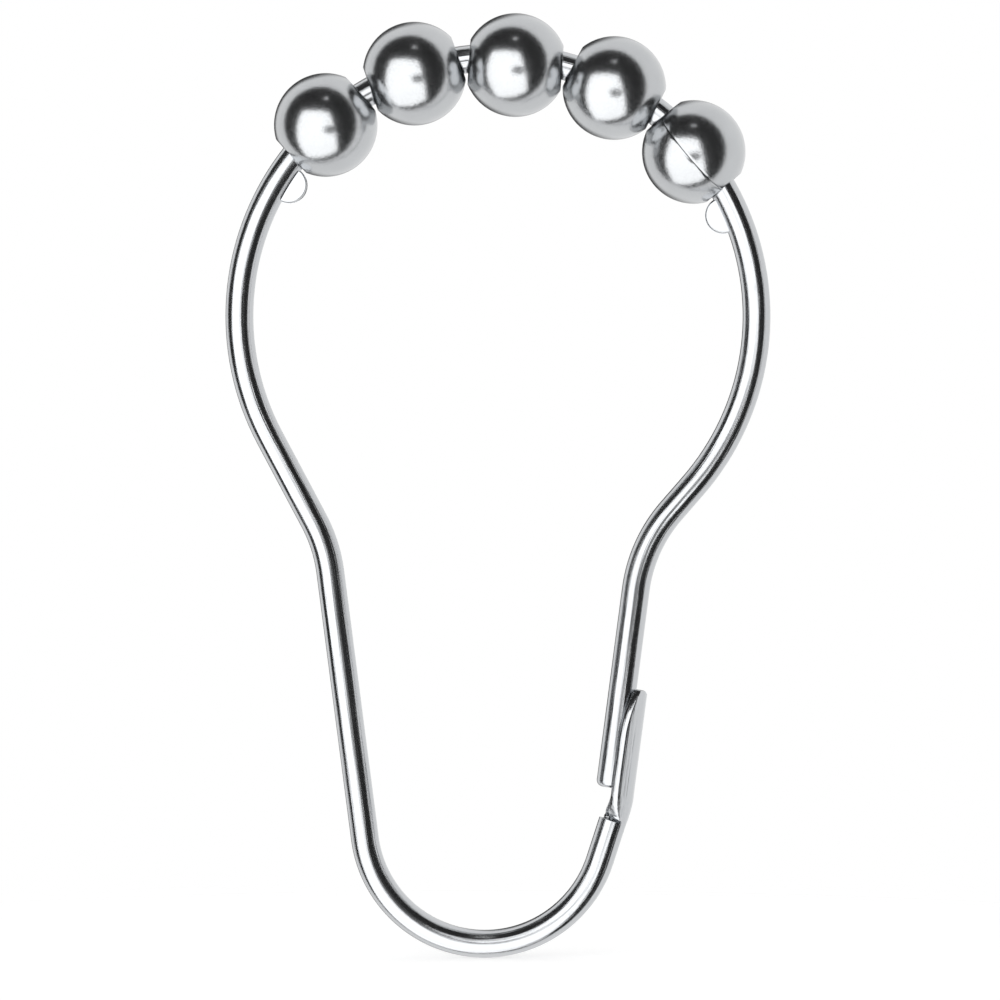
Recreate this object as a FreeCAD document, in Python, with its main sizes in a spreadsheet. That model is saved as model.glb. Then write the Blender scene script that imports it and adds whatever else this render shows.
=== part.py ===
import FreeCAD, Part
import math
import os

import Sketcher
from FreeCAD import Vector

# A roller curtain hook: one bent wire ring that closes in a pressed clasp, with five hollow beads
# on its crown. The ring lies in the XZ plane, +Z is up and the origin is the centre of the crown,
# where the curtain rod passes along Y. Lengths are millimetres and angles are degrees.
sizes = {
    # the bent wire: the angles of its straight runs are measured from the vertical
    "wire_dia": 2.15,
    "crown_radius": 20.0,
    "left_shoulder_angle": 28.0,
    "right_shoulder_angle": 41.0,
    "neck_drop": 17.7,
    "neck_radius": 11.5,
    "left_leg_angle": 7.4,
    "right_leg_angle": 7.5,
    "hook_depth": 48.55,
    "leg_end_height": 12.1,
    "leg_end_round": 0.5,
    # the clasp: a trough pressed from the other end of the wire, which takes the plain leg end;
    # its wrap is the angle from the middle of its round floor to where each straight lip begins
    "stub_angle": 18.0,
    "shoulder_gap": 2.6,
    "shoulder_floor_radius": 0.45,
    "shoulder_front_wrap": 68.0,
    "shoulder_back_wrap": 120.0,
    "shoulder_lip": 0.25,
    "trough_overlap": 7.75,
    "trough_end_gap": 0.35,
    "trough_clearance": 0.13,
    "trough_wall": 0.5,
    "trough_shift": 0.22,
    "trough_wrap": 50.0,
    "trough_lip": 1.1,
    "tongue_length": 3.2,
    "tongue_wrap": 46.0,
    "tongue_lip": 0.05,
    "tongue_end_radius": 0.9,
    # the beads: rolled hollow balls with faced ends and an open seam
    "bead_dia": 8.0,
    "bead_length": 7.2,
    "bead_wall": 0.4,
    "bead_bore_clearance": 0.36,
    "bead_gap": 0.1,
    "bead_seam_gap": 0.1,
    "bead_train_angle": 4.0,
    # the beads hang loosely: how far each rides outside the even row, within its bore's clearance
    "bead_1_lift": 0.22,
    "bead_2_lift": 0.15,
    "bead_3_lift": -0.22,
    "bead_4_lift": 0.12,
    "bead_5_lift": 0.08,
    # the stops: ears pinched out of the wire at both ends of the row of beads
    "ear_length": 2.7,
    "ear_height": 1.2,
    "ear_thickness": 0.9,
    "ear_play": 0.1,
}

# where each bead's seam faces: degrees about its axis, from the outside of the ring to the front
bead_seam_turns = (215.0, 300.0, 248.0, 325.0, 101.6)

# values that follow from the sizes
layout = {
    "wire_radius": "Sizes.wire_dia / 2",
    "left_corner_x":
        "-(Sizes.crown_radius - Sizes.neck_drop * sin(Sizes.left_shoulder_angle))"
        " / cos(Sizes.left_shoulder_angle)",
    "right_corner_x":
        "(Sizes.crown_radius - Sizes.neck_drop * sin(Sizes.right_shoulder_angle))"
        " / cos(Sizes.right_shoulder_angle)",
    "left_neck_tangent": "Sizes.neck_radius * tan((Sizes.left_shoulder_angle - Sizes.left_leg_angle) / 2)",
    "right_neck_tangent": "Sizes.neck_radius * tan((Sizes.right_shoulder_angle - Sizes.right_leg_angle) / 2)",
    "leg_end_drop": "Sizes.hook_depth - Sizes.leg_end_height",
    "leg_end_x": "right_corner_x - (leg_end_drop - Sizes.neck_drop) * tan(Sizes.right_leg_angle)",
    "shoulder_x": "leg_end_x + Sizes.trough_shift",
    "shoulder_drop": "leg_end_drop + Sizes.shoulder_gap",
    # the bottom bend touches the left leg, the stub and the level of the hook's depth
    "bottom_left_x": "left_corner_x + (Sizes.hook_depth - Sizes.neck_drop) * tan(Sizes.left_leg_angle)",
    "bottom_right_x": "shoulder_x - (Sizes.hook_depth - shoulder_drop) * tan(Sizes.stub_angle)",
    "bottom_radius":
        "(bottom_right_x - bottom_left_x)"
        " / (tan(45 - Sizes.left_leg_angle / 2) + tan(45 - Sizes.stub_angle / 2))",
    "bottom_centre_x": "bottom_left_x + bottom_radius * tan(45 - Sizes.left_leg_angle / 2)",
    "trough_inner_radius": "wire_radius + Sizes.trough_clearance",
    "trough_outer_radius": "trough_inner_radius + Sizes.trough_wall",
    "tongue_end_x": "trough_outer_radius - Sizes.tongue_end_radius",
    "tongue_end_z": "Sizes.trough_overlap - Sizes.tongue_end_radius",
    "bead_count": str(len(bead_seam_turns)),
    "bead_radius": "Sizes.bead_dia / 2",
    "bead_half_length": "Sizes.bead_length / 2",
    "bead_face_radius": "sqrt(bead_radius ^ 2 - bead_half_length ^ 2)",
    "bead_bore_radius": "wire_radius + Sizes.bead_bore_clearance",
    "bead_seam_angle": "Sizes.bead_seam_gap / bead_radius * 180 / pi",
    # a bead's faced ends are centred on the wire, so its middle lies inside the crown's arc
    "bead_orbit": "sqrt(Sizes.crown_radius ^ 2 - bead_half_length ^ 2)",
    "bead_corner_radius": "sqrt((bead_orbit - bead_face_radius) ^ 2 + bead_half_length ^ 2)",
    "bead_corner_angle": "atan(bead_half_length / (bead_orbit - bead_face_radius)) / 1deg",
    "bead_pitch": "2 * bead_corner_angle + Sizes.bead_gap / bead_corner_radius * 180 / pi",
    "ear_depth": "wire_radius + Sizes.ear_height",
    "ear_angle":
        "(bead_count - 1) / 2 * bead_pitch + bead_corner_angle"
        " + asin((Sizes.ear_length / 2 + Sizes.ear_play) / bead_corner_radius) / 1deg",
}

# the indices by which constraints know a curve's points, and a sketch's own origin and upright axis
start_index, end_index, centre_index = 1, 2, 3
sketch_origin = (-1, start_index)
upright_axis_index = -2

doc = FreeCAD.newDocument("roller_curtain_hook")


def fill_sheet(name, cells):
    sheet = doc.addObject("Spreadsheet::Sheet", name)
    for row, (alias, content) in enumerate(cells.items(), start=1):
        sheet.set(f"A{row}", alias)
        sheet.setAlias(f"B{row}", alias)
        sheet.set(f"B{row}", content)
    doc.recompute()
    return sheet


size_sheet = fill_sheet("Sizes", {alias: str(value) for alias, value in sizes.items()})
layout_sheet = fill_sheet("Layout", {alias: "=" + formula for alias, formula in layout.items()})


def value_of(formula):
    return float(layout_sheet.evalExpression(formula))


def new_body(label):
    body = doc.addObject("PartDesign::Body", label)
    body.Label = label
    return body


def new_sketch(body, name, plane_role, offset=None):
    sketch = body.newObject("Sketcher::SketchObject", name)
    plane = next(feature for feature in body.Origin.OriginFeatures if feature.Role == plane_role)
    sketch.AttachmentSupport = [(plane, "")]
    sketch.MapMode = "FlatFace"
    if offset:
        sketch.setExpression("AttachmentOffset", offset)
    return sketch


def new_feature(body, kind, name, **settings):
    feature = body.newObject(kind, name)
    for key, setting in settings.items():
        setattr(feature, key, setting)
    return feature


def add_line(sketch, start, end):
    return sketch.addGeometry(Part.LineSegment(Vector(*start), Vector(*end)))


def add_arc(sketch, centre, radius, from_angle, to_angle):
    circle = Part.Circle(Vector(*centre), Vector(0, 0, 1), radius)
    return sketch.addGeometry(Part.ArcOfCircle(circle, math.radians(from_angle), math.radians(to_angle)))


def constrain(sketch, kind, *references):
    return sketch.addConstraint(Sketcher.Constraint(kind, *references))


def dimension(sketch, formula, kind, *references):
    value = value_of(formula)
    index = constrain(sketch, kind, *references, math.radians(value) if kind == "Angle" else value)
    sketch.setExpression(f"Constraints[{index}]", formula)


def polar(centre, radius, angle):
    return (centre[0] + radius * math.cos(math.radians(angle)),
            centre[1] + radius * math.sin(math.radians(angle)))


# The ring's centreline, from the plain end of the right leg round to the clasp's shoulder
def wire_path(body):
    sketch = new_sketch(body, "WirePath", "XZ_Plane")
    crown, neck = value_of("Sizes.crown_radius"), value_of("Sizes.neck_radius")
    left_turn, right_turn = value_of("Sizes.left_shoulder_angle"), value_of("Sizes.right_shoulder_angle")
    left_lean, right_lean = value_of("Sizes.left_leg_angle"), value_of("Sizes.right_leg_angle")
    stub_lean = value_of("Sizes.stub_angle")
    bottom = value_of("Layout.bottom_radius")

    leg_end = (value_of("Layout.leg_end_x"), value_of("-Layout.leg_end_drop"))
    right_corner = (value_of("Layout.right_corner_x"), value_of("-Sizes.neck_drop"))
    left_corner = (value_of("Layout.left_corner_x"), value_of("-Sizes.neck_drop"))
    right_tangent, left_tangent = value_of("Layout.right_neck_tangent"), value_of("Layout.left_neck_tangent")
    right_neck_high = polar(right_corner, right_tangent, 90 - right_turn)
    right_neck_low = polar(right_corner, right_tangent, 270 - right_lean)
    left_neck_high = polar(left_corner, left_tangent, 90 + left_turn)
    left_neck_low = polar(left_corner, left_tangent, 270 + left_lean)
    bottom_centre = (value_of("Layout.bottom_centre_x"), bottom - value_of("Sizes.hook_depth"))
    shoulder = (value_of("Layout.shoulder_x"), value_of("-Layout.shoulder_drop"))

    right_leg = add_line(sketch, leg_end, right_neck_low)
    right_neck = add_arc(sketch, polar(right_neck_high, neck, -right_turn), neck,
                         180 - right_turn, 180 - right_lean)
    right_shoulder = add_line(sketch, right_neck_high, polar((0, 0), crown, -right_turn))
    top = add_arc(sketch, (0, 0), crown, -right_turn, 180 + left_turn)
    left_shoulder = add_line(sketch, polar((0, 0), crown, 180 + left_turn), left_neck_high)
    left_neck = add_arc(sketch, polar(left_neck_high, neck, 180 + left_turn), neck, left_lean, left_turn)
    left_leg = add_line(sketch, left_neck_low, polar(bottom_centre, bottom, 180 + left_lean))
    bend = add_arc(sketch, bottom_centre, bottom, 180 + left_lean, 360 - stub_lean)
    stub = add_line(sketch, polar(bottom_centre, bottom, -stub_lean), shoulder)

    tangent_joints = (
        (right_leg, end_index, right_neck, end_index),
        (right_neck, start_index, right_shoulder, start_index),
        (right_shoulder, end_index, top, start_index),
        (top, end_index, left_shoulder, start_index),
        (left_shoulder, end_index, left_neck, end_index),
        (left_neck, start_index, left_leg, start_index),
        (left_leg, end_index, bend, start_index),
        (bend, end_index, stub, start_index),
    )
    for joint in tangent_joints:
        constrain(sketch, "Tangent", *joint)
    constrain(sketch, "Coincident", top, centre_index, *sketch_origin)
    dimension(sketch, "Sizes.crown_radius", "Radius", top)
    dimension(sketch, "Sizes.neck_radius", "Radius", right_neck)
    dimension(sketch, "Sizes.neck_radius", "Radius", left_neck)
    dimension(sketch, "Layout.bottom_radius", "Radius", bend)
    dimension(sketch, "90 - Sizes.right_leg_angle", "Angle", right_leg)
    dimension(sketch, "90 - Sizes.right_shoulder_angle", "Angle", right_shoulder)
    dimension(sketch, "Sizes.left_shoulder_angle - 90", "Angle", left_shoulder)
    dimension(sketch, "Sizes.left_leg_angle - 90", "Angle", left_leg)
    dimension(sketch, "90 - Sizes.stub_angle", "Angle", stub)
    dimension(sketch, "Layout.left_neck_tangent * cos(Sizes.left_shoulder_angle) - Sizes.neck_drop",
              "DistanceY", *sketch_origin, left_shoulder, end_index)
    dimension(sketch, "Layout.leg_end_x", "DistanceX", *sketch_origin, right_leg, start_index)
    dimension(sketch, "-Layout.leg_end_drop", "DistanceY", *sketch_origin, right_leg, start_index)
    dimension(sketch, "Layout.shoulder_x", "DistanceX", *sketch_origin, stub, end_index)
    dimension(sketch, "-Layout.shoulder_drop", "DistanceY", *sketch_origin, stub, end_index)
    return sketch


# A trough's section: a round floor to the right, straight lips that run on from it, cut square to the wall
def trough_section(body, name, offset, radii, wraps, lip_length):
    sketch = new_sketch(body, name, "XY_Plane", offset)
    reach = value_of(lip_length)
    front, back = -value_of(wraps[0]), value_of(wraps[1])
    sides = ((f"-(90 + {wraps[0]})", front, front - 90, start_index),
             (f"90 + {wraps[1]}", back, back + 90, end_index))
    floors = []
    for radius_formula in radii:
        floor = add_arc(sketch, (0, 0), value_of(radius_formula), front, back)
        constrain(sketch, "Coincident", floor, centre_index, *sketch_origin)
        dimension(sketch, radius_formula, "Radius", floor)
        floors.append(floor)
    for lean_formula, root_angle, lean, floor_end in sides:
        lips, tips = [], []
        for floor, radius_formula in zip(floors, radii):
            root = polar((0, 0), value_of(radius_formula), root_angle)
            tips.append(polar(root, reach, lean))
            lips.append(add_line(sketch, root, tips[-1]))
            constrain(sketch, "Tangent", floor, floor_end, lips[-1], start_index)
        edge = add_line(sketch, *tips)
        constrain(sketch, "Coincident", edge, start_index, lips[0], end_index)
        constrain(sketch, "Coincident", edge, end_index, lips[1], end_index)
        constrain(sketch, "Parallel", *lips)
        constrain(sketch, "Perpendicular", edge, lips[0])
        dimension(sketch, lean_formula, "Angle", lips[0])
        dimension(sketch, lip_length, "Distance", lips[0])
    return sketch


# What is cut from the tongue's upper corner to round it, as seen from the front
def tongue_corner(body):
    offset = ("placement(vector(Layout.leg_end_x; -Layout.leg_end_drop; 0);"
              " rotationz(-Sizes.right_leg_angle))"
              " * placement(vector(Sizes.trough_shift; 0; 0); rotationz(0))")
    sketch = new_sketch(body, "TongueCorner", "XZ_Plane", offset)
    radius = value_of("Sizes.tongue_end_radius")
    centre = (value_of("Layout.tongue_end_x"), value_of("Layout.tongue_end_z"))
    right, top = centre[0] + 2 * radius, centre[1] + 2 * radius
    corner = add_arc(sketch, centre, radius, 0, 90)
    ledge = add_line(sketch, (centre[0] + radius, centre[1]), (right, centre[1]))
    side = add_line(sketch, (right, centre[1]), (right, top))
    roof = add_line(sketch, (right, top), (centre[0], top))
    drop = add_line(sketch, (centre[0], top), (centre[0], centre[1] + radius))
    constrain(sketch, "Coincident", corner, start_index, ledge, start_index)
    constrain(sketch, "Coincident", ledge, end_index, side, start_index)
    constrain(sketch, "Coincident", side, end_index, roof, start_index)
    constrain(sketch, "Coincident", roof, end_index, drop, start_index)
    constrain(sketch, "Coincident", drop, end_index, corner, end_index)
    constrain(sketch, "Horizontal", ledge)
    constrain(sketch, "Vertical", side)
    constrain(sketch, "Horizontal", roof)
    constrain(sketch, "Vertical", drop)
    constrain(sketch, "Horizontal", corner, centre_index, ledge, start_index)
    constrain(sketch, "Vertical", corner, centre_index, drop, end_index)
    dimension(sketch, "Sizes.tongue_end_radius", "Radius", corner)
    dimension(sketch, "Sizes.tongue_end_radius", "Distance", ledge)
    dimension(sketch, "Sizes.tongue_end_radius", "Distance", drop)
    dimension(sketch, "Layout.tongue_end_x", "DistanceX", *sketch_origin, corner, centre_index)
    dimension(sketch, "Layout.tongue_end_z", "DistanceY", *sketch_origin, corner, centre_index)
    return sketch


# An ear on the inside of the crown, its end a half circle
def ear_outline(body, name, turn):
    sketch = new_sketch(body, name, "XZ_Plane", f"placement(vector(0; 0; 0); rotationz(-({turn})))")
    half = value_of("Sizes.ear_length / 2")
    root = value_of("Sizes.crown_radius")
    middle_formula = "Sizes.crown_radius - Layout.ear_depth + Sizes.ear_length / 2"
    middle = value_of(middle_formula)
    base = add_line(sketch, (-half, root), (half, root))
    right = add_line(sketch, (half, root), (half, middle))
    end = add_arc(sketch, (0, middle), half, 180, 360)
    left = add_line(sketch, (-half, middle), (-half, root))
    constrain(sketch, "Coincident", base, end_index, right, start_index)
    constrain(sketch, "Tangent", right, end_index, end, end_index)
    constrain(sketch, "Tangent", end, start_index, left, start_index)
    constrain(sketch, "Coincident", left, end_index, base, start_index)
    constrain(sketch, "Horizontal", base)
    constrain(sketch, "Vertical", right)
    constrain(sketch, "Vertical", left)
    constrain(sketch, "PointOnObject", end, centre_index, upright_axis_index)
    dimension(sketch, "Sizes.ear_length / 2", "Radius", end)
    dimension(sketch, "Sizes.crown_radius", "DistanceY", *sketch_origin, base, start_index)
    dimension(sketch, middle_formula, "DistanceY", *sketch_origin, end, centre_index)
    return sketch


def build_wire_ring():
    body = new_body("wire_ring")
    leg_end_place = ("placement(vector(Layout.leg_end_x; 0; -Layout.leg_end_drop);"
                     " rotationy(Sizes.right_leg_angle))")

    # the clasp: it grows out of the stub's round end, runs beside the plain leg end and tapers to a tongue
    sections = [trough_section(
        body, "ShoulderSection",
        "placement(vector(Layout.shoulder_x; 0; -Layout.shoulder_drop); rotationy(Sizes.stub_angle))",
        ("Sizes.shoulder_floor_radius", "Layout.wire_radius"),
        ("Sizes.shoulder_front_wrap", "Sizes.shoulder_back_wrap"), "Sizes.shoulder_lip")]
    trough_radii = ("Layout.trough_inner_radius", "Layout.trough_outer_radius")
    tongue_root = "Sizes.trough_overlap - Sizes.tongue_length"
    for name, height, wrap, lip_length in (
            ("TroughFoot", "-Sizes.trough_end_gap", "Sizes.trough_wrap", "Sizes.trough_lip"),
            ("TongueRoot", tongue_root, "Sizes.trough_wrap", "Sizes.trough_lip"),
            ("TongueTip", "Sizes.trough_overlap", "Sizes.tongue_wrap", "Sizes.tongue_lip")):
        place = f"{leg_end_place} * placement(vector(Sizes.trough_shift; 0; {height}); rotationy(0))"
        sections.append(trough_section(body, name, place, trough_radii, (wrap, wrap), lip_length))
    new_feature(body, "PartDesign::AdditiveLoft", "Clasp",
                Profile=sections[0], Sections=sections[1:], Ruled=True)
    doc.recompute()
    new_feature(body, "PartDesign::Pocket", "TongueEnd",
                Profile=tongue_corner(body), Type="ThroughAll", Midplane=True)
    doc.recompute()

    # the wire, swept along its path from the plain leg end
    path = wire_path(body)
    section = new_sketch(body, "WireSection", "XY_Plane", leg_end_place)
    rim = section.addGeometry(Part.Circle(Vector(0, 0, 0), Vector(0, 0, 1), value_of("Layout.wire_radius")))
    constrain(section, "Coincident", rim, centre_index, *sketch_origin)
    dimension(section, "Layout.wire_radius", "Radius", rim)
    doc.recompute()
    runs = [f"Edge{number + 1}" for number in range(len(path.Shape.Edges))]
    wire = new_feature(body, "PartDesign::AdditivePipe", "Wire", Profile=section, Spine=(path, runs))
    doc.recompute()

    # the plain leg end is rounded off
    leg_end = Vector(value_of("Layout.leg_end_x"), 0, value_of("-Layout.leg_end_drop"))
    rims = [f"Edge{number + 1}" for number, edge in enumerate(wire.Shape.Edges)
            if isinstance(edge.Curve, Part.Circle) and edge.Curve.Center.isEqual(leg_end, 1e-4)]
    end_round = new_feature(body, "PartDesign::Fillet", "LegEndRound", Base=(wire, rims))
    end_round.setExpression("Radius", "Sizes.leg_end_round")
    doc.recompute()

    # the ears that keep the row of beads on the crown
    for name, turn in (("LeftEar", "Sizes.bead_train_angle - Layout.ear_angle"),
                       ("RightEar", "Sizes.bead_train_angle + Layout.ear_angle")):
        ear = new_feature(body, "PartDesign::Pad", name,
                          Profile=ear_outline(body, name + "Outline", turn), Midplane=True)
        ear.setExpression("Length", "Sizes.ear_thickness")
        doc.recompute()
    return body


def build_bead(number, seam_turn):
    body = new_body(f"roller_bead_{number}")
    sketch = new_sketch(body, f"BeadWall{number}", "XZ_Plane")
    reach, face = value_of("Layout.bead_half_length"), value_of("Layout.bead_face_radius")
    outer, inner = value_of("Layout.bead_radius"), value_of("Layout.bead_radius - Sizes.bead_wall")
    bore = value_of("Layout.bead_bore_radius")
    lip = math.sqrt(inner ** 2 - bore ** 2)
    face_angle = math.degrees(math.atan2(face, reach))
    lip_angle = math.degrees(math.atan2(bore, lip))
    outside = add_arc(sketch, (0, 0), outer, face_angle, 180 - face_angle)
    inside = add_arc(sketch, (0, 0), inner, lip_angle, 180 - lip_angle)
    for arc, formula in ((outside, "Layout.bead_radius"), (inside, "Layout.bead_radius - Sizes.bead_wall")):
        constrain(sketch, "Coincident", arc, centre_index, *sketch_origin)
        dimension(sketch, formula, "Radius", arc)
    for side, arc_end, reach_formula in ((1, start_index, "Layout.bead_half_length"),
                                         (-1, end_index, "-Layout.bead_half_length")):
        end_face = add_line(sketch, (side * reach, face), (side * reach, bore))
        bore_wall = add_line(sketch, (side * reach, bore), (side * lip, bore))
        constrain(sketch, "Coincident", outside, arc_end, end_face, start_index)
        constrain(sketch, "Coincident", end_face, end_index, bore_wall, start_index)
        constrain(sketch, "Coincident", bore_wall, end_index, inside, arc_end)
        constrain(sketch, "Vertical", end_face)
        constrain(sketch, "Horizontal", bore_wall)
        dimension(sketch, reach_formula, "DistanceX", *sketch_origin, end_face, start_index)
        dimension(sketch, "Layout.bead_bore_radius", "DistanceY", *sketch_origin, bore_wall, start_index)
    shell = new_feature(body, "PartDesign::Revolution", f"BeadShell{number}",
                        Profile=sketch, ReferenceAxis=(sketch, ["H_Axis"]), Midplane=True)
    shell.setExpression("Angle", "360 - Layout.bead_seam_angle")
    turn = f"(Sizes.bead_train_angle + ({number} - (Layout.bead_count + 1) / 2) * Layout.bead_pitch)"
    orbit = f"(Layout.bead_orbit + Sizes.bead_{number}_lift)"
    body.setExpression(
        "Placement",
        f"placement(vector({orbit} * sin({turn}); 0; {orbit} * cos({turn}));"
        f" rotationy({turn}) * rotationx({seam_turn - 180}))")
    doc.recompute()
    return body


parts = [build_wire_ring()]
for number, seam_turn in enumerate(bead_seam_turns, start=1):
    parts.append(build_bead(number, seam_turn))
doc.recompute()

for item in doc.Objects:
    if {"Invalid", "Error"} & set(item.State):
        raise RuntimeError(f"{item.Label} failed: {item.State}")
for part in parts:
    if part.Shape.isNull() or not part.Shape.isValid() or len(part.Shape.Solids) != 1:
        raise RuntimeError(f"{part.Label} is not one valid solid")

os.makedirs("parts", exist_ok=True)
for part in parts:
    part.Shape.exportStep(f"parts/{part.Label}.step")
    box = part.Shape.BoundBox
    print(part.Label, "volume", round(part.Shape.Volume, 3),
          "size", [round(length, 3) for length in (box.XLength, box.YLength, box.ZLength)])
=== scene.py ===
import math
import bmesh
import bpy
from mathutils import Matrix, Vector


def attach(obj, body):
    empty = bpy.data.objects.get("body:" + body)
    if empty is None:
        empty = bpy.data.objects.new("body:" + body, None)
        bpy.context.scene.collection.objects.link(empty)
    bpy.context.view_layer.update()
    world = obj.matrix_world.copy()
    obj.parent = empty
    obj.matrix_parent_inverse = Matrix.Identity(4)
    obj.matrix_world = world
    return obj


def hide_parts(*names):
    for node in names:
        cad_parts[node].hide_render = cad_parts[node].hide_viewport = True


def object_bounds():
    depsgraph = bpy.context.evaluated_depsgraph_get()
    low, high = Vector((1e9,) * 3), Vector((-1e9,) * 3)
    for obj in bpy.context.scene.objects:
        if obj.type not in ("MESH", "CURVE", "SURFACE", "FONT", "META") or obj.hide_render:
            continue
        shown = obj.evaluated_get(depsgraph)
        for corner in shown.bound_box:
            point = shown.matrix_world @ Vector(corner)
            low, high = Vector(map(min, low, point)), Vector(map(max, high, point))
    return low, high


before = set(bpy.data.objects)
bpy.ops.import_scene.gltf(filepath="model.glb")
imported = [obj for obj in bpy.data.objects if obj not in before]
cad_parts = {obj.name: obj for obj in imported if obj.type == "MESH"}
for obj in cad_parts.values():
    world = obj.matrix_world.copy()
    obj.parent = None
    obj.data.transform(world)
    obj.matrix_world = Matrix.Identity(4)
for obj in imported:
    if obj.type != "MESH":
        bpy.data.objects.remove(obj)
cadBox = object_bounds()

mm = 0.001
acrossRing = Vector((0, 1, 0))  # the ring lies flat in XZ, the camera looks along +Y
creaseAngle = 40                # degrees; sharper edges than this keep a crease in the shading
print("frame loaded:", sorted(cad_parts))


def turnX(degrees):
    return Matrix.Rotation(math.radians(degrees), 4, "X")


def turnY(degrees):
    return Matrix.Rotation(math.radians(degrees), 4, "Y")


def turnZ(degrees):
    return Matrix.Rotation(math.radians(degrees), 4, "Z")


def at(x, y, z):
    return Matrix.Translation(Vector((x, y, z)) * mm)


# each item once, in the order that they come, so that every run makes the same mesh
def once(items):
    return list(dict.fromkeys(items))


def vertsOf(geom):
    return [g for g in geom if isinstance(g, bmesh.types.BMVert)]


def edgesOf(geom):
    return [g for g in geom if isinstance(g, bmesh.types.BMEdge)]


def facesOf(geom):
    return [g for g in geom if isinstance(g, bmesh.types.BMFace)]


# edges are rounded by a size in mm
def soften(bm, edges, size, steps):
    bmesh.ops.bevel(bm, geom=edges, offset=size * mm, offset_type="OFFSET", segments=steps,
                    profile=0.5, affect="EDGES", material=-1)


def objectFrom(name, bm):
    mesh = bpy.data.meshes.new(name)
    bm.to_mesh(mesh)
    bm.free()
    made = bpy.data.objects.new(name, mesh)
    bpy.context.scene.collection.objects.link(made)
    return made


# one mesh becomes one piece that rides on its body and stands for a CAD node
def makePiece(name, bm, body, node, material):
    bmesh.ops.recalc_face_normals(bm, faces=bm.faces)
    piece = objectFrom(name, bm)
    piece.data.shade_smooth()
    piece.data.set_sharp_from_angle(angle=math.radians(creaseAngle))
    piece.data.materials.append(material)
    flats = piece.modifiers.new("flatFacesStayFlat", "WEIGHTED_NORMAL")
    flats.keep_sharp = True
    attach(piece, body)
    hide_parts(node)
    return piece


# sRGB hex to the linear colour that shaders take
def hexColour(code):
    channels = [int(code[i:i + 2], 16) / 255 for i in (1, 3, 5)]
    return [c / 12.92 if c <= 0.04045 else ((c + 0.055) / 1.055) ** 2.4 for c in channels] + [1.0]


# adds one node, sets its properties and sockets, and links the sockets that are given another node's output
def addNode(tree, kind, sockets=None, **settings):
    node = tree.nodes.new(kind)
    for key, value in settings.items():
        setattr(node, key, value)
    for key, value in (sockets or {}).items():
        if isinstance(value, bpy.types.NodeSocket):
            tree.links.new(value, node.inputs[key])
        else:
            node.inputs[key].default_value = value
    return node


def newMaterial(name):
    material = bpy.data.materials.new(name)
    material.use_nodes = True
    material.node_tree.nodes.clear()
    return material, material.node_tree


noiseLow, noiseHigh = 0.3, 0.7  # most values of a noise lie between these

# Bright chrome plate on drawn steel wire: a near mirror with crisp bands along the wire, broken only by
# faint die lines that run with the wire, a slight ripple of the plating and a few duller rub marks
wireFinish = {
    "colour": "#C9CBCD", "shade": "#BFC1C4",
    "roughness": 0.15, "glossSpread": (0.7, 1.5),   # times the roughness, from line to line
    "dieLineMm": 0.2,       # real die lines are finer than 0.05 mm, drawn coarser so that they show
    "dieLineLengthMm": 14.0,
    "dieLineStrength": 1.0, "dieLineDepthMm": 0.02,
    "rippleMm": 1.6, "rippleStrength": 0.3, "rippleDepthMm": 0.01,
    "rubMm": 2.4, "rubRoughness": 0.26, "rubFrom": 0.6, "rubFull": 0.75,
}


def chromeWire(finish):
    material, tree = newMaterial("bright chrome on drawn steel wire")
    along = addNode(tree, "ShaderNodeAttribute", attribute_name="straightWire").outputs["Vector"]
    stretched = addNode(tree, "ShaderNodeMapping", {
        "Vector": along, "Scale": (finish["dieLineMm"] / finish["dieLineLengthMm"], 1, 1)}).outputs["Vector"]
    lines = addNode(tree, "ShaderNodeTexNoise", {
        "Vector": stretched, "Scale": 1 / (finish["dieLineMm"] * mm), "Detail": 3.0,
        "Roughness": 0.6}).outputs["Fac"]
    place = addNode(tree, "ShaderNodeTexCoord").outputs["Object"]
    ripple = addNode(tree, "ShaderNodeTexNoise", {
        "Vector": place, "Scale": 1 / (finish["rippleMm"] * mm), "Detail": 1.0}).outputs["Fac"]
    rub = addNode(tree, "ShaderNodeTexNoise", {
        "Vector": place, "Scale": 1 / (finish["rubMm"] * mm), "Detail": 6.0, "Roughness": 0.7}).outputs["Fac"]
    worn = addNode(tree, "ShaderNodeMapRange", {
        "Value": rub, "From Min": finish["rubFrom"], "From Max": finish["rubFull"]}).outputs["Result"]
    glossiest, dullest = finish["glossSpread"]
    gloss = addNode(tree, "ShaderNodeMapRange", {
        "Value": lines, "From Min": noiseLow, "From Max": noiseHigh,
        "To Min": finish["roughness"] * glossiest, "To Max": finish["roughness"] * dullest}).outputs["Result"]
    roughness = addNode(tree, "ShaderNodeMix", {
        "Factor": worn, "A": gloss, "B": finish["rubRoughness"]}, data_type="FLOAT").outputs["Result"]
    tint = addNode(tree, "ShaderNodeMix", {
        "Factor": lines, "A": hexColour(finish["colour"]), "B": hexColour(finish["shade"])},
        data_type="RGBA").outputs["Result"]
    lineBump = addNode(tree, "ShaderNodeBump", {
        "Height": lines, "Strength": finish["dieLineStrength"],
        "Distance": finish["dieLineDepthMm"] * mm}).outputs["Normal"]
    bump = addNode(tree, "ShaderNodeBump", {
        "Height": ripple, "Strength": finish["rippleStrength"], "Distance": finish["rippleDepthMm"] * mm,
        "Normal": lineBump}).outputs["Normal"]
    shader = addNode(tree, "ShaderNodeBsdfPrincipled", {
        "Base Color": tint, "Metallic": 1.0, "Roughness": roughness, "Normal": bump})
    addNode(tree, "ShaderNodeOutputMaterial", {"Surface": shader.outputs["BSDF"]})
    return material


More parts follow.
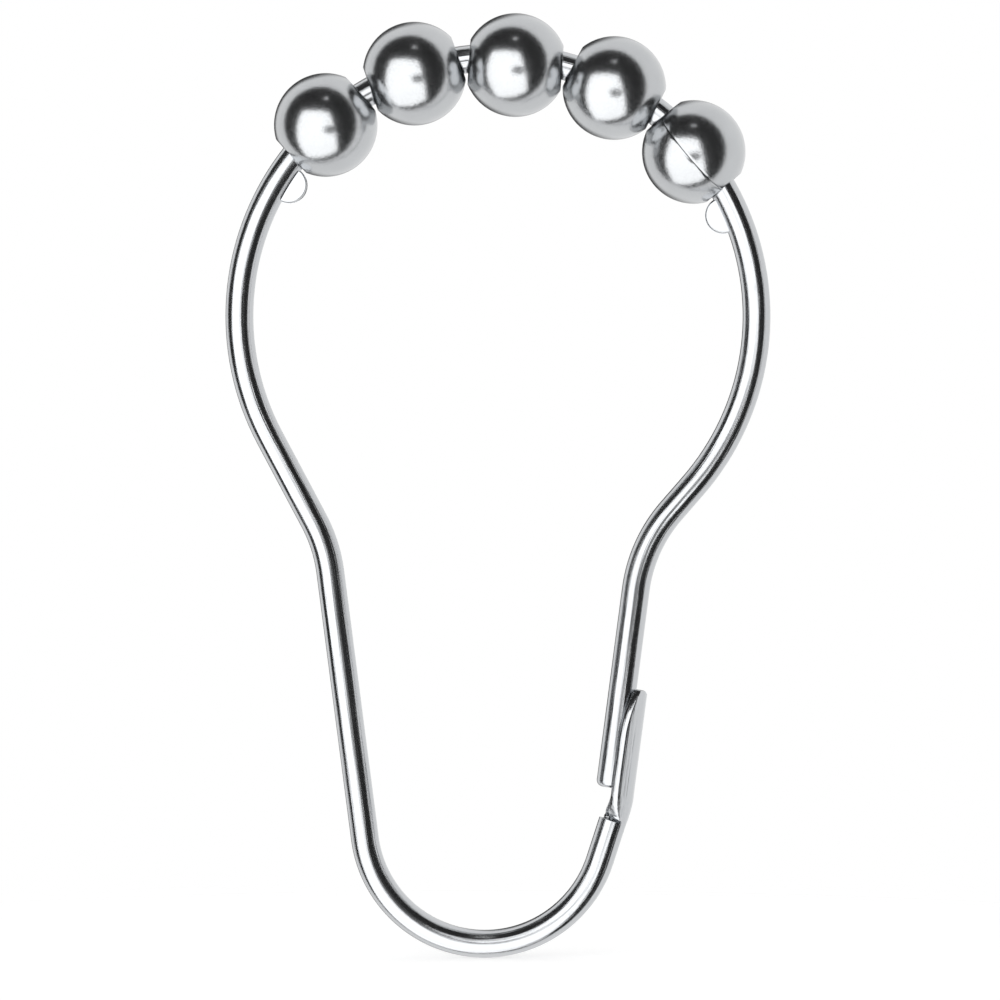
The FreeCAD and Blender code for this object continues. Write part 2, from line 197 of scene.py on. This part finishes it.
# Satin-bright chrome on rolled and tumbled steel balls: softer reflections than the wire's, with a fine
# grain from tumbling and a slight orange peel
beadFinish = {
    "colour": "#C6C8CA", "shade": "#BABCBE", "cloudMm": 3.0,
    "roughness": 0.21, "glossSpread": (0.8, 1.25),  # times the roughness, from grain to grain
    "grainMm": 0.14,        # tumbling marks are near 0.03 mm, drawn coarser so that they show
    "grainStrength": 0.6, "grainDepthMm": 0.009,
    "peelMm": 1.1, "peelStrength": 0.3, "peelDepthMm": 0.008,
}


def chromeBead(finish):
    material, tree = newMaterial("satin chrome on tumbled steel balls")
    place = addNode(tree, "ShaderNodeTexCoord").outputs["Object"]
    grain = addNode(tree, "ShaderNodeTexNoise", {
        "Vector": place, "Scale": 1 / (finish["grainMm"] * mm), "Detail": 2.0}).outputs["Fac"]
    peel = addNode(tree, "ShaderNodeTexNoise", {
        "Vector": place, "Scale": 1 / (finish["peelMm"] * mm), "Detail": 1.0}).outputs["Fac"]
    cloud = addNode(tree, "ShaderNodeTexNoise", {
        "Vector": place, "Scale": 1 / (finish["cloudMm"] * mm), "Detail": 3.0}).outputs["Fac"]
    glossiest, dullest = finish["glossSpread"]
    roughness = addNode(tree, "ShaderNodeMapRange", {
        "Value": grain, "From Min": noiseLow, "From Max": noiseHigh,
        "To Min": finish["roughness"] * glossiest, "To Max": finish["roughness"] * dullest}).outputs["Result"]
    tint = addNode(tree, "ShaderNodeMix", {
        "Factor": cloud, "A": hexColour(finish["colour"]), "B": hexColour(finish["shade"])},
        data_type="RGBA").outputs["Result"]
    grainBump = addNode(tree, "ShaderNodeBump", {
        "Height": grain, "Strength": finish["grainStrength"],
        "Distance": finish["grainDepthMm"] * mm}).outputs["Normal"]
    bump = addNode(tree, "ShaderNodeBump", {
        "Height": peel, "Strength": finish["peelStrength"], "Distance": finish["peelDepthMm"] * mm,
        "Normal": grainBump}).outputs["Normal"]
    shader = addNode(tree, "ShaderNodeBsdfPrincipled", {
        "Base Color": tint, "Metallic": 1.0, "Roughness": roughness, "Normal": bump})
    addNode(tree, "ShaderNodeOutputMaterial", {"Surface": shader.outputs["BSDF"]})
    return material


wireChrome = chromeWire(wireFinish)
beadChrome = chromeBead(beadFinish)
print("materials made")

# The wire: a bending table, walked from the plain leg end to the clasp's shoulder.
# A run is a length in mm, a bend is (radius in mm, degrees, left turns positive).
wire = {
    "radius": 1.075, "sides": 72,
    "start": (8.6454, -36.45), "lean": 7.5,
    "table": [15.4507, (11.5, -33.5), 2.6059, (20.0, 249.0), 7.3224, (11.5, -20.6),
              20.8024, (9.353, 154.6), 3.0436, 0.15],  # the short last run keeps the shading even
    "bendStep": 2.0,        # degrees for each step round a bend
    "runStep": 4.0,         # mm for each step along a run
    "endRound": 0.5, "endRoundSteps": 8,
}


def bendWire(bm, table):
    layer = bm.verts.layers.float_vector.new("straightWire")
    ring = bmesh.ops.create_circle(bm, cap_ends=True, segments=table["sides"],
                                   radius=table["radius"] * mm)["verts"]
    for v in ring:
        v[layer] = Vector((0, v.co.x, v.co.y))
    endRim = list(ring[0].link_faces[0].edges)
    x, z = table["start"]
    bmesh.ops.transform(bm, matrix=at(x, 0, z) @ turnY(table["lean"]), verts=ring)
    edges, lean, here = endRim, table["lean"], Vector((x, 0, z))

    def step(geom, length):
        for v in vertsOf(geom):
            v[layer] = Vector((v[layer].x + length * mm, v[layer].y, v[layer].z))
        return edgesOf(geom)

    for item in table["table"]:
        ahead = Vector((math.sin(math.radians(lean)), 0, math.cos(math.radians(lean))))
        if isinstance(item, tuple):
            radius, angle = item
            side = 1 if angle > 0 else -1
            leftward = Vector((-ahead.z, 0, ahead.x))
            centre = here + leftward * radius * side
            count = max(2, round(abs(angle) / table["bendStep"]))
            for _ in range(count):
                geom = bmesh.ops.spin(bm, geom=edges + once(v for e in edges for v in e.verts),
                                      cent=centre * mm, axis=acrossRing, angle=math.radians(-angle / count),
                                      steps=1, use_duplicate=False)["geom_last"]
                edges = step(geom, radius * math.radians(abs(angle)) / count)
            here = centre + turnY(-angle).to_3x3() @ (here - centre)
            lean -= angle
        else:
            count = max(1, round(item / table["runStep"]))
            for _ in range(count):
                geom = bmesh.ops.extrude_edge_only(bm, edges=edges)["geom"]
                bmesh.ops.translate(bm, vec=ahead * item / count * mm, verts=vertsOf(geom))
                edges = step(geom, item / count)
            here = here + ahead * item
    soften(bm, endRim, table["endRound"], table["endRoundSteps"])
    length = max(v[layer].x for v in bm.verts)
    return here, lean % 360, length


# The clasp: a trough pressed from the wire's other end. Its wall's inner and outer lines are round floors that
# run on into straight lips: radius and lip in mm, front and back the degrees that the floor wraps.
clasp = {
    "floorSteps": 34, "lipSteps": 2,
    "shift": 0.22,          # the trough's axis beside the leg's
    "shoulder": {"inner": {"radius": 0.45, "front": 88, "back": 125, "lip": 0.08},
                 "outer": {"radius": 1.075, "front": 45, "back": 125, "lip": 0.1876}},
    "trough": {"inner": {"radius": 1.205, "front": 50, "back": 50, "lip": 1.10},
               "outer": {"radius": 1.705, "front": 50, "back": 50, "lip": 0.88}},
    "tip": {"inner": {"radius": 1.205, "front": 54, "back": 54, "lip": 0.08},
            "outer": {"radius": 1.705, "front": 46, "back": 46, "lip": 0.10}},
    "foot": -0.35, "root": 3.1, "top": 7.75,  # heights above the leg's end; the tongue begins at the root
    "footRows": 10, "rowStep": 0.4,
    "footTaper": 1.4, "footLips": 3.0,  # 1 is a straight foot, more closes it close to the shoulder
    "bendIn": 2.5,          # 1 is a straight slope of the lips to the tongue's tip, more bends in late
    "tongueRound": 0.3, "roundRoot": 4.55,  # the tongue's corner, and the height where its rounding begins
    "edgeRound": 0.06, "edgeRoundSteps": 2,
    "softenAbove": 32,      # degrees between two faces
    "softenFrom": 2,        # the row above the shoulder where the lips' edges start to be softened
    "joinWithin": 0.01,     # mm between the points of clasp and wire that become one
}


# the vertices joined to one by edges
def islandOf(vert):
    found = [vert]
    for v in found:
        for edge in v.link_edges:
            other = edge.other_vert(v)
            if other not in found:
                found.append(other)
    return found


# one line of the wall, drawn round the Z axis; lips follow the circle where the wall grows out of round wire
def wallLine(bm, line, floorSteps, lipSteps, roundLips):
    start = bm.verts.new(turnZ(-line["front"]) @ Vector((line["radius"] * mm, 0, 0)))
    spun = bmesh.ops.spin(bm, geom=[start], cent=(0, 0, 0), axis=(0, 0, 1),
                          angle=math.radians(line["front"] + line["back"]), steps=floorSteps)["geom_last"]
    lipStep = line["lip"] / lipSteps
    for end, angle, side in ((start, -line["front"], -1), (vertsOf(spun)[0], line["back"], 1)):
        lean = math.radians(angle + 90 * side)
        push = Vector((math.cos(lean), math.sin(lean), 0)) * lipStep * mm
        bend = Matrix.Rotation(lipStep / line["radius"] * side, 3, "Z")
        for _ in range(lipSteps):
            end = bmesh.ops.extrude_vert_indiv(bm, verts=[end])["verts"][0]
            if roundLips:
                bmesh.ops.rotate(bm, cent=(0, 0, 0), matrix=bend, verts=[end])
            else:
                bmesh.ops.translate(bm, vec=push, verts=[end])
    return once(e for v in islandOf(start) for e in v.link_edges)


# a flat strip of faces across the wall, between its two lines; the die lines run on from the wire
def wallStrip(bm, layer, along, place, section, table, roundLips):
    inner, outer = (wallLine(bm, section[name], table["floorSteps"], table["lipSteps"], roundLips)
                    for name in ("inner", "outer"))
    verts = once(v for e in inner + outer for v in e.verts)
    for v in verts:
        v[layer] = Vector((along, v.co.x, v.co.y))
    faces = bmesh.ops.bridge_loops(bm, edges=inner + outer)["faces"]
    bmesh.ops.transform(bm, matrix=place, verts=verts)
    return faces, verts


def boundaryOf(faces):
    inside = set(faces)
    return [e for e in once(e for f in faces for e in f.edges) if sum(f in inside for f in e.link_faces) == 1]


# a section between two others: the radius by one share, the wraps and lips by another
def mixSection(a, b, taper, lips):
    return {line: {key: a[line][key] + (b[line][key] - a[line][key]) * (taper if key == "radius" else lips)
                   for key in a[line]} for line in a}


def pressClasp(bm, table, shoulder, shoulderLean, wireLength, legEnd, legLean):
    layer = bm.verts.layers.float_vector.new("straightWire")
    legPlace = at(legEnd[0], 0, legEnd[1]) @ turnY(legLean)

    def inLeg(height):
        return legPlace @ at(table["shift"], 0, height)

    # sections up the foot, the trough and the tongue
    rows = [(at(*shoulder) @ turnY(shoulderLean), table["shoulder"])]
    shoulderSpot, footSpot = shoulder * mm, inLeg(table["foot"]).to_translation()
    for row in range(1, table["footRows"]):
        share = row / table["footRows"]
        taper, lips = (1 - (1 - share) ** table[curve] for curve in ("footTaper", "footLips"))
        lean = shoulderLean + (legLean - shoulderLean) * share
        rows.append((Matrix.Translation(shoulderSpot.lerp(footSpot, share)) @ turnY(lean),
                     mixSection(table["shoulder"], table["trough"], taper, lips)))
    rowCount = round((table["top"] - table["foot"]) / table["rowStep"])
    for row in range(rowCount + 1):
        height = table["foot"] + (table["top"] - table["foot"]) * row / rowCount
        share = max(height - table["root"], 0) / (table["top"] - table["root"])
        bent = share ** table["bendIn"]
        rows.append((inLeg(height), mixSection(table["trough"], table["tip"], bent, bent)))

    # the rims of the strips are bridged, and only the tip's strip stays, as the end face
    strips = []
    for number, (place, section) in enumerate(rows):
        along = wireLength + (place.to_translation() - shoulderSpot).length
        strips.append(wallStrip(bm, layer, along, place, section, table, number == 0))
    rims = [boundaryOf(faces) for faces, _ in strips]
    for lower, upper in zip(rims, rims[1:]):
        bmesh.ops.bridge_loops(bm, edges=lower + upper)
    bmesh.ops.delete(bm, geom=[f for faces, _ in strips[:-1] for f in faces], context="FACES")

    # the tongue's upper corner is rounded as seen from the front
    there, back = inLeg(0), inLeg(0).inverted()
    radius = table["tongueRound"] * mm
    middle = table["trough"]["outer"]["radius"] * mm - radius
    bottom, top = table["roundRoot"] * mm, table["top"] * mm
    for _, verts in strips:
        for v in verts:
            local = back @ v.co
            if local.z > bottom:
                reach = min(max(local.x - middle, 0), radius)
                drop = radius - math.sqrt(radius ** 2 - reach ** 2)
                local.z -= drop * (local.z - bottom) / (top - bottom)
                v.co = there @ local

    # the edges along the lips and round the tongue's rim are softened
    rowOf = {v: number for number, (_, verts) in enumerate(strips) for v in verts}
    sharp = []
    for edge in bm.edges:
        low, high = sorted(rowOf[v] for v in edge.verts)
        alongLip, onRim = table["softenFrom"] <= low < high, low == len(strips) - 1
        if (alongLip or onRim) and edge.calc_face_angle(0) > math.radians(table["softenAbove"]):
            sharp.append(edge)
    soften(bm, sharp, table["edgeRound"], table["edgeRoundSteps"])


# small pieces are shaped in a mesh of their own, because operators slow down on a large one
def addTo(bm, small):
    mesh = bpy.data.meshes.new("small")
    small.to_mesh(mesh)
    small.free()
    bm.from_mesh(mesh)
    bpy.data.meshes.remove(mesh)


def openEdges(bm):
    return [e for e in bm.edges if e.is_boundary]


wireMesh = bmesh.new()
stubEnd, stubLean, wireLength = bendWire(wireMesh, wire)
print("wire bent, ends at", [round(c, 3) for c in stubEnd], "leaning", round(stubLean, 3))
claspMesh = bmesh.new()
pressClasp(claspMesh, clasp, stubEnd, stubLean, wireLength, wire["start"], wire["lean"])
addTo(wireMesh, claspMesh)
joinVerts = once(v for e in openEdges(wireMesh) for v in e.verts)
bmesh.ops.remove_doubles(wireMesh, verts=joinVerts, dist=clasp["joinWithin"] * mm)
bmesh.ops.holes_fill(wireMesh, edges=openEdges(wireMesh), sides=0)  # the flat of the shoulder
print("clasp pressed, open edges left:", len(openEdges(wireMesh)),
      "loose:", sum(not e.link_faces for e in wireMesh.edges))

# The ears: the wire is pinched flat to a rounded tab on the inside of the crown at both ends of the beads
ears = {
    "turns": (-57.94, 65.94),
    "tip": 17.725, "half": 1.35, "thickness": 0.9, "sides": 48,
    "edgeRound": 0.07, "edgeRoundSteps": 4,
}


def pinchEar(bm, table, turn):
    disc = bmesh.ops.create_circle(bm, cap_ends=True, segments=table["sides"],
                                   radius=table["half"] * mm)["verts"]
    face = disc[0].link_faces[0]
    out = bmesh.ops.extrude_face_region(bm, geom=[face])["geom"]
    bmesh.ops.translate(bm, vec=(0, 0, table["thickness"] * mm), verts=vertsOf(out))
    bmesh.ops.reverse_faces(bm, faces=[face])
    place = turnY(turn) @ at(0, table["thickness"] / 2, table["tip"] + table["half"]) @ turnX(90)
    bmesh.ops.transform(bm, matrix=place, verts=bm.verts)
    rims = once(e for f in [face] + facesOf(out) for e in f.edges)
    soften(bm, rims, table["edgeRound"], table["edgeRoundSteps"])


for turn in ears["turns"]:
    earMesh = bmesh.new()
    pinchEar(earMesh, ears, turn)
    addTo(wireMesh, earMesh)
wireRing = makePiece("wireRing", wireMesh, "ring", "wire_ring", wireChrome)
print("wire ring made:", len(wireRing.data.polygons), "faces")

# The beads: a rolled wall with faced ends and a bore, spun round the bead's axis up to its open seam
beads = {
    "radius": 4.0, "inner": 3.6, "halfLength": 3.6, "bore": 1.435,
    "seamGap": 0.045,
    "edgeRound": 0.02, "edgeRoundSteps": 2,
    "softenAbove": 40,      # degrees between two faces
    "steps": 120, "wallSteps": 56,
    "orbit": 19.6733, "pitch": 23.0195, "middleTurn": 4.0, "middleBead": 3,
    "lifts": (0.22, 0.15, -0.22, 0.12, 0.08),  # the loose beads ride unevenly on the wire
    "seamTurns": (215.0, 300.0, 248.0, 325.0, 101.6),  # from the ring's outside towards the front
}


def rollBead(table, turn, lift, seamTurn):
    bm = bmesh.new()
    outerTilt = math.degrees(math.acos(table["halfLength"] / table["radius"]))
    innerTilt = math.degrees(math.asin(table["bore"] / table["inner"]))
    chains = []
    for radius, tilt, count in ((table["radius"], outerTilt, table["wallSteps"]),
                                (table["inner"], innerTilt, table["wallSteps"] // 2)):
        start = bm.verts.new(turnY(-tilt) @ Vector((radius * mm, 0, 0)))
        spun = bmesh.ops.spin(bm, geom=[start], cent=(0, 0, 0), axis=(0, -1, 0),
                              angle=math.radians(180 - 2 * tilt), steps=count)["geom_last"]
        chains.append((start, vertsOf(spun)[0]))
    for side, (outerEnd, innerEnd) in zip((1, -1), zip(*chains)):
        corner = bm.verts.new((side * table["halfLength"] * mm, 0, table["bore"] * mm))
        bm.edges.new((outerEnd, corner))
        bm.edges.new((corner, innerEnd))
    seamAngle = math.degrees(table["seamGap"] / table["radius"])
    bmesh.ops.spin(bm, geom=list(bm.verts) + list(bm.edges), cent=(0, 0, 0), axis=(1, 0, 0),
                   angle=math.radians(360 - seamAngle), steps=table["steps"])
    bmesh.ops.holes_fill(bm, edges=openEdges(bm), sides=0)
    bmesh.ops.recalc_face_normals(bm, faces=bm.faces)
    seamEdges = {e for f in bm.faces if len(f.verts) > 4 for e in f.edges}  # round the wall's filled ends
    sharpest = math.radians(table["softenAbove"])
    rims = [e for e in bm.edges if e.calc_face_angle(0) > sharpest or e in seamEdges]
    soften(bm, rims, table["edgeRound"], table["edgeRoundSteps"])
    place = turnY(turn) @ at(0, 0, table["orbit"] + lift) @ turnX(seamTurn + seamAngle / 2)
    bmesh.ops.transform(bm, matrix=place, verts=bm.verts)
    return bm


for number, (lift, seamTurn) in enumerate(zip(beads["lifts"], beads["seamTurns"]), start=1):
    turn = beads["middleTurn"] + (number - beads["middleBead"]) * beads["pitch"]
    bead = makePiece(f"bead{number}", rollBead(beads, turn, lift, seamTurn), f"bead_{number}",
                     f"roller_bead_{number}", beadChrome)
print("beads rolled:", len(bead.data.polygons), "faces each")

# The studio, in metres and degrees: white behind the hook, a dark room behind the camera, a soft panel low on
# the camera's left, and a small lamp above. Dense is the share of a cloth that hasn't begun to thin out.
studio = {
    "panel": {"turn": (-24.0, -25.0), "size": (1.15, 1.65), "distance": 0.6, "radiance": 1.9},
    "lamp": {"turn": (0.0, 58.0), "size": (0.07, 0.05), "distance": 0.6, "radiance": 1.6},
    "flag": {"aside": 0.0155, "away": -0.15, "up": -0.0235, "wide": 0.046, "tall": 0.03,
             "dense": 0.6, "light": 0.2},
    "cloth": {"aside": -0.3, "away": 1.0, "up": 0.25, "wide": 0.56, "tall": 1.2,
              "dense": 0.35, "light": 0.04},
    "roomRadius": 1.6, "roomEdge": 89.0, "roomTurn": 15.0, "roomLight": 0.03,
    "softLight": 0.5,       # the world's strength where it isn't seen
    "floorRadius": 0.09, "floorGap": 0.00003, "floorColour": "#F4F4F4", "floorGlow": 0.55,
    "floorFade": (0.45, 0.98),  # shares of the radius between which the floor fades out
}
white = hexColour("#FFFFFF")


# the way to a thing that hangs so many degrees right of the camera and above it
def towards(right, up):
    r, u = math.radians(right), math.radians(up)
    return Vector((math.sin(r) * math.cos(u), -math.cos(r) * math.cos(u), math.sin(u)))


def hangLamp(name, lamp):
    data = bpy.data.lights.new(name, "AREA")
    data.shape = "RECTANGLE"
    data.size, data.size_y = lamp["size"]
    data.energy = lamp["radiance"] * math.pi * data.size * data.size_y
    hung = bpy.data.objects.new(name, data)
    way = towards(*lamp["turn"])
    hung.location = way * lamp["distance"]
    hung.rotation_euler = way.to_track_quat("Z", "Y").to_euler()
    hung.visible_camera = False
    bpy.context.scene.collection.objects.link(hung)


hangLamp("softPanel", studio["panel"])
hangLamp("smallLamp", studio["lamp"])


# 1 for the rays that see the white background: from the camera, mirrored by metal or through glass
def seenRays(tree):
    path = addNode(tree, "ShaderNodeLightPath")
    seen = addNode(tree, "ShaderNodeMath", {
        0: path.outputs["Is Camera Ray"], 1: path.outputs["Is Glossy Ray"]}, operation="ADD")
    return addNode(tree, "ShaderNodeMath", {
        0: seen.outputs[0], 1: path.outputs["Is Transmission Ray"]}, operation="ADD", use_clamp=True).outputs[0]


def whiteWorld(table):
    world = bpy.data.worlds.new("whiteStudio")
    bpy.context.scene.world = world
    world.use_nodes = True
    tree = world.node_tree
    tree.nodes.clear()
    soft = addNode(tree, "ShaderNodeBackground", {"Color": white, "Strength": table["softLight"]})
    full = addNode(tree, "ShaderNodeBackground", {"Color": white, "Strength": 1.0})
    both = addNode(tree, "ShaderNodeMixShader", {0: seenRays(tree), 1: soft.outputs[0], 2: full.outputs[0]})
    addNode(tree, "ShaderNodeOutputWorld", {"Surface": both.outputs[0]})


whiteWorld(studio)


# a dark thing that only reflections show; with a fade, it thins out towards its rim
def addShade(name, bm, radiance, fade=None):
    shade = objectFrom(name, bm)
    material, tree = newMaterial("dark studio cloth")
    light = addNode(tree, "ShaderNodeEmission", {"Color": white, "Strength": radiance})
    if fade:
        place = addNode(tree, "ShaderNodeTexCoord").outputs["Object"]
        fromMiddle = addNode(tree, "ShaderNodeMapping", {
            "Vector": place, "Location": [-c / r for c, r in zip(fade["middle"], fade["reach"])],
            "Scale": [1 / r for r in fade["reach"]]}).outputs["Vector"]
        far = addNode(tree, "ShaderNodeVectorMath", {0: fromMiddle}, operation="LENGTH").outputs["Value"]
        thin = addNode(tree, "ShaderNodeMapRange", {"Value": far, "From Min": fade["dense"], "From Max": 1.0},
                       interpolation_type="SMOOTHSTEP").outputs["Result"]
        clear = addNode(tree, "ShaderNodeBsdfTransparent")
        light = addNode(tree, "ShaderNodeMixShader", {0: thin, 1: light.outputs[0], 2: clear.outputs[0]})
    addNode(tree, "ShaderNodeOutputMaterial", {"Surface": light.outputs[0]})
    shade.data.materials.append(material)
    shade.visible_camera = shade.visible_diffuse = shade.visible_shadow = False


def hangCloth(name, cloth):
    bm = bmesh.new()
    bmesh.ops.create_circle(bm, cap_ends=True, segments=64, radius=1)
    bmesh.ops.scale(bm, vec=(cloth["wide"], cloth["tall"], 1), verts=bm.verts)
    middle = Vector((cloth["aside"], cloth["away"], cloth["up"]))
    bmesh.ops.transform(bm, matrix=Matrix.Translation(middle) @ turnX(90), verts=bm.verts)
    addShade(name, bm, cloth["light"],
             {"middle": middle, "reach": (cloth["wide"], 1, cloth["tall"]), "dense": cloth["dense"]})


hangCloth("cameraFlag", studio["flag"])  # close before the hook, the soft dark spot in each bead
hangCloth("backCloth", studio["cloth"])  # far behind the hook, so that its back has something to mirror


def darkRoom(table):
    bm = bmesh.new()
    bmesh.ops.create_uvsphere(bm, u_segments=64, v_segments=48, radius=table["roomRadius"])
    edge = -table["roomRadius"] * math.cos(math.radians(table["roomEdge"]))
    bmesh.ops.bisect_plane(bm, geom=list(bm.verts) + list(bm.edges) + list(bm.faces),
                           plane_co=(0, edge, 0), plane_no=(0, 1, 0), clear_outer=True)
    bmesh.ops.transform(bm, matrix=turnZ(-table["roomTurn"]), verts=bm.verts)
    addShade("darkRoom", bm, table["roomLight"])


darkRoom(studio)


# a pale matt floor that keeps the hook's shadow; the metal mirrors the white world in its place
def layFloor(table, level):
    bm = bmesh.new()
    bmesh.ops.create_circle(bm, cap_ends=True, segments=96, radius=table["floorRadius"])
    bmesh.ops.translate(bm, vec=(0, 0, level - table["floorGap"]), verts=bm.verts)
    floor = objectFrom("paleFloor", bm)
    material, tree = newMaterial("pale matt floor")
    place = addNode(tree, "ShaderNodeTexCoord").outputs["Object"]
    flat = addNode(tree, "ShaderNodeVectorMath", {0: place, 1: (1, 1, 0)}, operation="MULTIPLY").outputs[0]
    reach = addNode(tree, "ShaderNodeVectorMath", {0: flat}, operation="LENGTH").outputs["Value"]
    fadeFrom, fadeTo = (share * table["floorRadius"] for share in table["floorFade"])
    fade = addNode(tree, "ShaderNodeMapRange", {"Value": reach, "From Min": fadeFrom, "From Max": fadeTo},
                   interpolation_type="SMOOTHSTEP").outputs["Result"]
    glow = addNode(tree, "ShaderNodeMath", {0: seenRays(tree), 1: table["floorGlow"]}, operation="MULTIPLY")
    colour = hexColour(table["floorColour"])
    matt = addNode(tree, "ShaderNodeBsdfDiffuse", {"Color": colour})
    light = addNode(tree, "ShaderNodeEmission", {"Color": colour, "Strength": glow.outputs[0]})
    top = addNode(tree, "ShaderNodeAddShader", {0: matt.outputs[0], 1: light.outputs[0]})
    clear = addNode(tree, "ShaderNodeBsdfTransparent")
    mixed = addNode(tree, "ShaderNodeMixShader", {0: fade, 1: top.outputs[0], 2: clear.outputs[0]})
    addNode(tree, "ShaderNodeOutputMaterial", {"Surface": mixed.outputs[0]})
    floor.data.materials.append(material)
    floor.visible_glossy = False


layFloor(studio, cadBox[0].z)
print("studio lit")

# The camera stands square in front with a long lens, so that the ring shows nearly without perspective
camera = {"lens": 200.0, "sensor": 36.0, "frameMm": 77.34, "centre": (0.155, -14.23), "clip": (0.01, 20.0)}
view = bpy.data.cameras.new("photoCamera")
view.lens, view.sensor_width = camera["lens"], camera["sensor"]
view.clip_start, view.clip_end = camera["clip"]
eye = bpy.data.objects.new("photoCamera", view)
away = camera["frameMm"] * camera["lens"] / camera["sensor"]
eye.location = Vector((camera["centre"][0], -away, camera["centre"][1])) * mm
eye.rotation_euler = (math.radians(90), 0, 0)
bpy.context.scene.collection.objects.link(eye)
bpy.context.scene.camera = eye
bpy.context.scene.view_settings.view_transform = "Standard"
